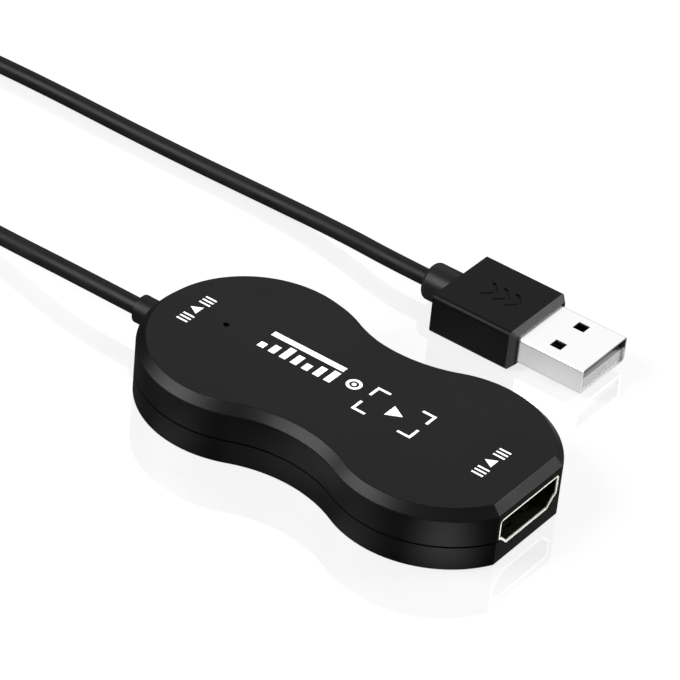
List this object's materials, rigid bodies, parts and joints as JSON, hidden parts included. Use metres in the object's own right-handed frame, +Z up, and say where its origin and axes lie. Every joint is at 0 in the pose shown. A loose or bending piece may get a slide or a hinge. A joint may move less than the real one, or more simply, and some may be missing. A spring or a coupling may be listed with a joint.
{
  "type": "video capture box",
  "caption": "Small sealed box with two round lobes and a video socket at one end, which turns a video signal into data on a short captive cord with a flat data plug.",
  "frame": {"origin": "under the middle of the box, on the flat surface that the box and its plug lie on", "axes": "+X along the box from the cord's exit to the video socket, +Z up, the plug lies on the +Y side"},
  "size_m": [0.1586, 0.0636, 0.0102],
  "materials": {
    "housing_plastic": "fine satin texture",
    "cable_jacket": "smooth satin",
    "grip_plastic": "fine satin texture",
    "bright_shell": "bright plated sheet",
    "socket_shell_plating": "pale plated sheet",
    "contact_gold": "gold plated",
    "socket_black": "moulded",
    "tongue_white": "moulded",
    "board_laminate": "solder mask over laminate",
    "chip_epoxy": "moulded epoxy",
    "tinned_leads": "tinned",
    "solder": "smooth bright solder",
    "crystal_can": "plated lid",
    "ferrite": "pressed ferrite",
    "tantalum_case": "moulded",
    "ceramic_body": "fired ceramic",
    "resistor_body": "glazed ceramic",
    "lamp_lens": "clear resin",
    "inner_mould": "moulded, natural colour",
    "insulation_red": "extruded",
    "insulation_white": "extruded",
    "insulation_green": "extruded",
    "insulation_black": "extruded"
  },
  "bodies": {
    "root": {"lower_housing": "housing_plastic", "upper_housing": "housing_plastic", "circuit_board": "board_laminate", "socket_shell": "socket_shell_plating", "socket_contacts": "contact_gold", "socket_insulator": "socket_black", "capture_chip": "chip_epoxy", "capture_chip_leads": "tinned_leads", "firmware_memory": "chip_epoxy", "firmware_memory_leads": "tinned_leads", "voltage_regulator": "chip_epoxy", "voltage_regulator_leads": "tinned_leads", "crystal": "crystal_can", "power_inductor": "ferrite", "reservoir_capacitors": "tantalum_case", "chip_capacitors": "ceramic_body", "chip_resistors": "resistor_body", "chip_terminals": "tinned_leads", "status_lamp": "lamp_lens", "cable_grommet": "cable_jacket", "cable_tail": "cable_jacket", "conductor_red": "insulation_red", "conductor_white": "insulation_white", "conductor_green": "insulation_green", "conductor_black": "insulation_black", "shield_drain": "tinned_leads", "solder_joints": "solder", "plug_shell": "bright_shell", "plug_contacts": "contact_gold", "plug_insulator": "tongue_white", "plug_cable_tail": "cable_jacket", "plug_conductor_red": "insulation_red", "plug_conductor_white": "insulation_white", "plug_conductor_green": "insulation_green", "plug_conductor_black": "insulation_black", "plug_inner_mould": "inner_mould", "plug_overmould": "grip_plastic", "cable": "cable_jacket"}
  },
  "joints": []
}
